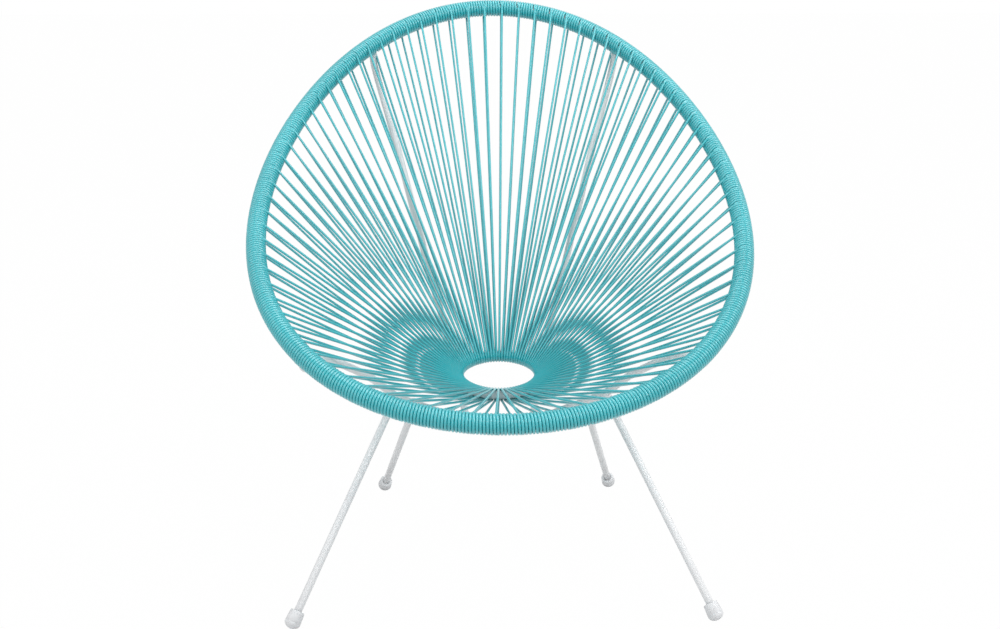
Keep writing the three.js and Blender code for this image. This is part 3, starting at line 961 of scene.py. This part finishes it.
# %% Leg sockets
SOCKET_SIDES = 32
SOCKET_RADIUS = 0.009
SOCKET_MOUTH_IN = 0.0005
SOCKET_MOUTH_OUT = 0.0006
WELD_BEVEL = 0.0015

for name, leg in legs.items():
    plug = leg.end + FIT
    over = leg.bar_at + SOCKET_RADIUS
    bm = bmesh.new()
    spun(bm, [(0.0, plug), (bore, plug), (bore, leg.socket_start + SOCKET_MOUTH_IN),
              (bore + SOCKET_MOUTH_IN, leg.socket_start),
              (SOCKET_RADIUS - SOCKET_MOUTH_OUT, leg.socket_start),
              (SOCKET_RADIUS, leg.socket_start + SOCKET_MOUTH_OUT),
              (SOCKET_RADIUS, over), (0.0, over)], SOCKET_SIDES, leg.matrix)
    up = leg.way_along_cradle.cross(leg.way_up.cross(leg.way_along_cradle)).normalized()
    rim = sawn(bm, leg.top, up)
    bmesh.ops.bevel(bm, geom=rim, offset=WELD_BEVEL, segments=3, profile=0.5,
                    affect="EDGES", material=-1)
    bmesh.ops.recalc_face_normals(bm, faces=bm.faces)
    add_piece("socket_" + name, bm, powder_coat, "leg_socket_" + name)

# %% [markdown]
# A bolt goes through the socket and locks the leg, with a washer and a nut on its far
# side. Those of the left legs are mirror images of those of the right ones. All three are
# spun about the bolt's own line, which is the leg frame's x axis. The nut is the one with
# flat sides: its outline is spun in only six steps and isn't shaded smooth.

# %% Bolts, washers and nuts
BOLT_SIDES = 24
BOLT_RADIUS = 0.0025
BOLT_TAIL = 0.002
BOLT_BEVEL = 0.0004
HEAD_RADIUS = 0.00425
HEAD_HEIGHT = 0.003
HEAD_EDGE = 0.0003
WASHER_SIDES = 32
WASHER_RADIUS = 0.005
WASHER_HEIGHT = 0.001
WASHER_BEVEL = 0.0002
NUT_SIDES = 6
NUT_RADIUS = 0.0045
NUT_HEIGHT = 0.004
NUT_BEVEL = 0.0003
NUT_FACE = 0.94 * NUT_RADIUS

face = SOCKET_RADIUS + FIT
disc_end = face + WASHER_HEIGHT
nut_start = disc_end + FIT
nut_end = nut_start + NUT_HEIGHT
tail = nut_end + BOLT_TAIL
hole = BOLT_RADIUS + FIT
bolt = [(0.0, tail), (BOLT_RADIUS - BOLT_BEVEL, tail), (BOLT_RADIUS, tail - BOLT_BEVEL),
        (BOLT_RADIUS, -face), (HEAD_RADIUS - HEAD_EDGE, -face), (HEAD_RADIUS, -face - BOLT_BEVEL),
        (HEAD_RADIUS * 0.86, -face - HEAD_HEIGHT * 0.7),
        (HEAD_RADIUS * 0.5, -face - HEAD_HEIGHT), (0.0, -face - HEAD_HEIGHT)]
disc = [(hole, face), (WASHER_RADIUS - WASHER_BEVEL, face), (WASHER_RADIUS, face + WASHER_BEVEL),
        (WASHER_RADIUS, disc_end - WASHER_BEVEL), (WASHER_RADIUS - WASHER_BEVEL, disc_end),
        (hole, disc_end), (hole, face)]
block = [(hole, nut_start), (NUT_FACE, nut_start), (NUT_RADIUS, nut_start + NUT_BEVEL),
         (NUT_RADIUS, nut_end - NUT_BEVEL), (NUT_FACE, nut_end), (hole, nut_end),
         (hole, nut_start)]

for name, leg in legs.items():
    across = leg.matrix @ Matrix.Translation((0.0, 0.0, (leg.socket_start + leg.end) / 2))
    for kind, outline, sides, solid in (("screw_", bolt, BOLT_SIDES, "bolt_"),
                                        ("disc_", disc, WASHER_SIDES, "washer_"),
                                        ("hex_", block, NUT_SIDES, "nut_")):
        bm = bmesh.new()
        handed = [(out, leg.hand * along) for out, along in outline]
        spun(bm, handed, sides, across, axis_x=True)
        add_piece(kind + name, bm, zinc, solid + name, smooth=sides != NUT_SIDES)

# %% [markdown]
# The hoop's tube is hidden under its winding. A rounder tube would never be seen, so the
# solid stays and only gets the finish.

# %% Finish of the hoop's tube
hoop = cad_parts["seat_hoop"]
hoop.data.materials.clear()
hoop.data.materials.append(powder_coat)
print("finish of the hoop:", hoop.data.materials[0].name)

# %% [markdown]
# The chair stands on a plain white floor under a plain white sky. Light strong enough to
# make them white would also bleach the chair. So to the camera and in reflections both
# glow with a strength of one, through the Light Path node, and all other rays meet a pale
# floor and a softer sky. The floor keeps a hundredth of its own shading, so the chair's
# shadow is only a trace. The photograph shows hardly more.

# %% Floor
FLOOR_SIZE = 20.0
FLOOR_GLOW = 0.99


def seen_directly(nodes, links):
    """1 for the rays of the camera, of reflections and through glass, else 0."""
    path = nodes.new("ShaderNodeLightPath")
    found = path.outputs["Is Camera Ray"]
    for kind in ("Is Glossy Ray", "Is Transmission Ray"):
        either = nodes.new("ShaderNodeMath")
        either.operation = "MAXIMUM"
        links.new(found, either.inputs[0])
        links.new(path.outputs[kind], either.inputs[1])
        found = either.outputs[0]
    return found


def make_floor_white():
    material, nodes, links, shader = new_material("floor_white", linear(205, 205, 205), 0.9)
    cloudy = object_noise(nodes, links, scale=30.0)
    shades_from(nodes, links, cloudy, shader,
                (0.0, linear(202, 202, 202)), (1.0, linear(208, 208, 208)))
    glow = nodes.new("ShaderNodeEmission")
    glow.inputs["Strength"].default_value = 1.0
    share = nodes.new("ShaderNodeMath")
    share.operation = "MULTIPLY"
    share.inputs[1].default_value = FLOOR_GLOW
    links.new(seen_directly(nodes, links), share.inputs[0])
    mix = nodes.new("ShaderNodeMixShader")
    links.new(share.outputs[0], mix.inputs["Fac"])
    links.new(shader.outputs["BSDF"], mix.inputs[1])
    links.new(glow.outputs["Emission"], mix.inputs[2])
    links.new(mix.outputs["Shader"], nodes["Material Output"].inputs["Surface"])
    return material


bm = bmesh.new()
bmesh.ops.create_grid(bm, x_segments=2, y_segments=2, size=FLOOR_SIZE)
floor_mesh = bpy.data.meshes.new("floor")
bm.to_mesh(floor_mesh)
bm.free()
floor_mesh.materials.append(make_floor_white())
floor = bpy.data.objects.new("floor", floor_mesh)
bpy.context.collection.objects.link(floor)
print("floor:", 2 * FLOOR_SIZE, "m wide")

# %% [markdown]
# The sky is one even colour. It fills the shadows from all sides, and its strength below
# one leaves room for the lamps.

# %% Sky
SKY_LIGHT = 0.58
WHITE = (1.0, 1.0, 1.0, 1.0)

world = bpy.data.worlds.new("studio")
bpy.context.scene.world = world
world.use_nodes = True
air = world.node_tree.nodes
air_links = world.node_tree.links
plain = air["Background"]
plain.inputs["Color"].default_value = WHITE
plain.inputs["Strength"].default_value = SKY_LIGHT
white_sky = air.new("ShaderNodeBackground")
white_sky.inputs["Color"].default_value = WHITE
white_sky.inputs["Strength"].default_value = 1.0
sky_mix = air.new("ShaderNodeMixShader")
air_links.new(seen_directly(air, air_links), sky_mix.inputs["Fac"])
air_links.new(plain.outputs["Background"], sky_mix.inputs[1])
air_links.new(white_sky.outputs["Background"], sky_mix.inputs[2])
air_links.new(sky_mix.outputs["Shader"], air["World Output"].inputs["Surface"])
print("sky:", SKY_LIGHT)

# %% [markdown]
# Four large soft lamps stand round the chair: a key from the right, a weaker fill from
# the left, a low one in front that reaches under the seat, and one above. A large lamp
# gives soft edges to the shadows between the strands, as a studio's screens do. All of
# them look at the middle of the chair.

# %% Lamps
LAMP_AIM = Vector((0.0, 0.0, 0.4))
LAMPS = {
    "key": ((2.3, -0.9, 2.3), 1.8, 40.0),
    "fill": ((-2.2, -1.6, 2.2), 2.0, 24.0),
    "front": ((0.2, -3.0, 0.7), 2.0, 14.0),
    "top": ((0.0, 0.2, 3.0), 2.0, 34.0),
}

for name, (place, size, power) in LAMPS.items():
    lamp = bpy.data.lights.new(name, "AREA")
    lamp.size = size
    lamp.energy = power
    holder = bpy.data.objects.new(name, lamp)
    holder.location = place
    aim = LAMP_AIM - Vector(place)
    holder.rotation_euler = aim.to_track_quat("-Z", "Y").to_euler()
    bpy.context.collection.objects.link(holder)
    print("lamp", name, "of", power, "W")
bpy.context.scene.view_settings.view_transform = "Standard"
